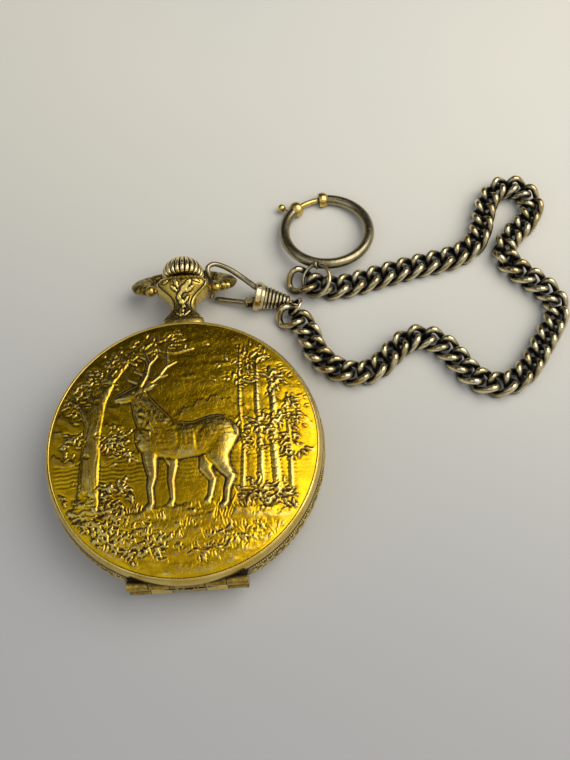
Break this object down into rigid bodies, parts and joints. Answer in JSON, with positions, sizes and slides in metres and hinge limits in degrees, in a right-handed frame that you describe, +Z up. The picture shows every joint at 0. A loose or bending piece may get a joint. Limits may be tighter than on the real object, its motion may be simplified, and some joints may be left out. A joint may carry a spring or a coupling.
{
  "type": "pocket watch",
  "caption": "Full hunter pocket watch with hinged covers, a hand-wound movement and folding bow, on a spring clip, curb chain and bolt ring.",
  "frame": {"origin": "centre of the flat on the back cover, on which the watch rests", "axes": "+Y towards the pendant and crown, +Z up through the front cover, +X to the right, seen from the front"},
  "size_m": [0.102, 0.0841, 0.0135],
  "materials": {
    "case_gold": "polished gold, dark in the recesses",
    "cover_gold": "embossed old gold with a polished rim",
    "glass": "clear",
    "steel": "ground",
    "blued_steel": "blued",
    "nickel_plate": "frosted nickel",
    "wheel_brass": "satin",
    "ruby": "polished",
    "enamel": "glossy enamel",
    "nickel_silver": "worn nickel with dark oxide",
    "ring_nickel": "worn grey nickel",
    "ring_brass": "polished"
  },
  "bodies": {
    "case": {"case_band": "case_gold", "pendant": "case_gold", "front_hinge_pin": "case_gold", "back_hinge_pin": "case_gold", "bezel": "case_gold", "crystal": "glass", "cover_spring": "blued_steel", "case_screws": "blued_steel", "mainplate": "nickel_plate", "barrel_bridge": "nickel_plate", "train_bridge": "nickel_plate", "balance_cock": "nickel_plate", "bridge_screws": "blued_steel", "jewels": "ruby", "hairspring": "blued_steel", "dial": "enamel"},
    "front_cover": {"front_cover": "cover_gold"},
    "back_cover": {"back_cover": "cover_gold"},
    "cover_catch": {"cover_catch": "blued_steel"},
    "winding_pinion": {"winding_pinion": "steel"},
    "crown": {"crown": "case_gold", "winding_stem": "steel"},
    "crown_wheel": {"crown_wheel": "steel"},
    "ratchet": {"ratchet_wheel": "steel"},
    "click": {"click": "blued_steel"},
    "barrel": {"barrel": "wheel_brass", "barrel_lid": "wheel_brass", "mainspring": "blued_steel"},
    "centre": {"centre_wheel": "wheel_brass", "cannon_pinion": "steel", "minute_hand": "blued_steel"},
    "third_wheel": {"third_wheel": "wheel_brass"},
    "seconds": {"fourth_wheel": "wheel_brass", "seconds_hand": "blued_steel"},
    "escape_wheel": {"escape_wheel": "steel"},
    "pallet_fork": {"pallet_fork": "steel"},
    "balance": {"balance_wheel": "wheel_brass"},
    "minute_wheel": {"minute_wheel": "wheel_brass"},
    "hour": {"hour_wheel": "wheel_brass", "hour_hand": "blued_steel"},
    "bow": {"bow": "case_gold"},
    "clip": {"clip_hook": "nickel_silver", "clip_ferrule": "nickel_silver", "clip_ring": "nickel_silver", "chain_links_near": "nickel_silver", "chain_links_bend": "nickel_silver", "chain_links_loop": "nickel_silver", "chain_links_far": "nickel_silver", "jump_ring": "nickel_silver"},
    "clip_gate": {"clip_gate": "nickel_silver"},
    "bolt_ring": {"ring_tube": "ring_nickel", "ring_collars": "ring_brass"},
    "ring_bolt": {"ring_bolt": "ring_brass"}
  },
  "joints": [
    {"name": "front_cover_hinge", "type": "hinge", "parent": "case", "child": "front_cover", "pos_m": [0, -0.0242, 0.00795], "axis": [1, 0, 0], "range_deg": [0, 95]},
    {"name": "back_cover_hinge", "type": "hinge", "parent": "case", "child": "back_cover", "pos_m": [0, -0.0242, 0.00445], "axis": [-1, 0, 0], "range_deg": [0, 95]},
    {"name": "catch_slide", "type": "slide", "parent": "case", "child": "cover_catch", "axis": [0, -1, 0], "range_m": [0, 0.0002], "stiffness_N_per_m": 50},
    {"name": "crown_turn", "type": "hinge", "parent": "case", "child": "winding_pinion", "pos_m": [0, 0.01605, 0.0062], "axis": [0, 1, 0], "continuous": true},
    {"name": "crown_pull", "type": "slide", "parent": "winding_pinion", "child": "crown", "axis": [0, 1, 0], "range_m": [-0.0004, 0.001]},
    {"name": "crown_wheel_turn", "type": "hinge", "parent": "case", "child": "crown_wheel", "pos_m": [0, 0.0121, 0.004], "axis": [0, 0, 1], "continuous": true},
    {"name": "ratchet_turn", "type": "hinge", "parent": "case", "child": "ratchet", "pos_m": [-0.00736, 0.00617, 0.004], "axis": [0, 0, 1], "continuous": true},
    {"name": "click_tilt", "type": "hinge", "parent": "case", "child": "click", "pos_m": [-0.01355, 0.00974, 0.004], "axis": [0, 0, 1], "range_deg": [0, 6]},
    {"name": "seconds_turn", "type": "hinge", "parent": "case", "child": "seconds", "pos_m": [0.0096, 0, 0.006], "axis": [0, 0, 1], "continuous": true},
    {"name": "third_turn", "type": "hinge", "parent": "case", "child": "third_wheel", "pos_m": [0.00573, -0.00507, 0.0053], "axis": [0, 0, 1], "continuous": true},
    {"name": "centre_turn", "type": "hinge", "parent": "case", "child": "centre", "pos_m": [0, 0, 0.0067], "axis": [0, 0, 1], "continuous": true},
    {"name": "barrel_turn", "type": "hinge", "parent": "case", "child": "barrel", "pos_m": [-0.00736, 0.00617, 0.0055], "axis": [0, 0, 1], "continuous": true},
    {"name": "escape_turn", "type": "hinge", "parent": "case", "child": "escape_wheel", "pos_m": [0.01429, -0.00328, 0.0066], "axis": [0, 0, 1], "continuous": true},
    {"name": "minute_wheel_turn", "type": "hinge", "parent": "case", "child": "minute_wheel", "pos_m": [-0.00282, -0.00103, 0.0085], "axis": [0, 0, 1], "continuous": true},
    {"name": "hour_turn", "type": "hinge", "parent": "case", "child": "hour", "pos_m": [0, 0, 0.009], "axis": [0, 0, 1], "continuous": true},
    {"name": "fork_tilt", "type": "hinge", "parent": "case", "child": "pallet_fork", "pos_m": [0.01181, -0.00655, 0.0066], "axis": [0, 0, 1], "range_deg": [-3, 3]},
    {"name": "balance_swing", "type": "hinge", "parent": "case", "child": "balance", "pos_m": [0.0083, -0.0112, 0.004], "axis": [0, 0, 1], "range_deg": [-270, 270]},
    {"name": "bow_fold", "type": "hinge", "parent": "case", "child": "bow", "pos_m": [0, 0.0342, 0.0062], "axis": [1, 0, 0], "range_deg": [0, 75]},
    {"name": "clip_swivel", "type": "hinge", "parent": "bow", "child": "clip", "pos_m": [0.0088, 0.0368, 0.0044], "axis": [0, 0, 1], "range_deg": [-8, 8]},
    {"name": "gate_hinge", "type": "hinge", "parent": "clip", "child": "clip_gate", "pos_m": [0.0122, 0.0326, 0.0019], "axis": [0, 0, -1], "range_deg": [0, 20], "stiffness_Nm_per_rad": 0.002},
    {"name": "bolt_ring_flip", "type": "hinge", "parent": "clip", "child": "bolt_ring", "pos_m": [0.02698, 0.03871, 0.00484], "axis": [1, 0, 0], "range_deg": [0, 30]},
    {"name": "bolt_slide", "type": "hinge", "parent": "bolt_ring", "child": "ring_bolt", "pos_m": [0.0299, 0.0483, 0.00234], "axis": [0, 0.1392, 0.9903], "range_deg": [0, 30], "stiffness_Nm_per_rad": 0.002}
  ],
  "couplings": [
    {"joint": "crown_wheel_turn", "follows": "crown_turn", "ratio": 0.5},
    {"joint": "ratchet_turn", "follows": "crown_turn", "ratio": -0.4},
    {"joint": "third_turn", "follows": "seconds_turn", "ratio": -0.13333},
    {"joint": "centre_turn", "follows": "seconds_turn", "ratio": 0.016667},
    {"joint": "barrel_turn", "follows": "seconds_turn", "ratio": -0.002381},
    {"joint": "escape_turn", "follows": "seconds_turn", "ratio": -10},
    {"joint": "minute_wheel_turn", "follows": "seconds_turn", "ratio": -0.0055556},
    {"joint": "hour_turn", "follows": "seconds_turn", "ratio": 0.0013889}
  ]
}
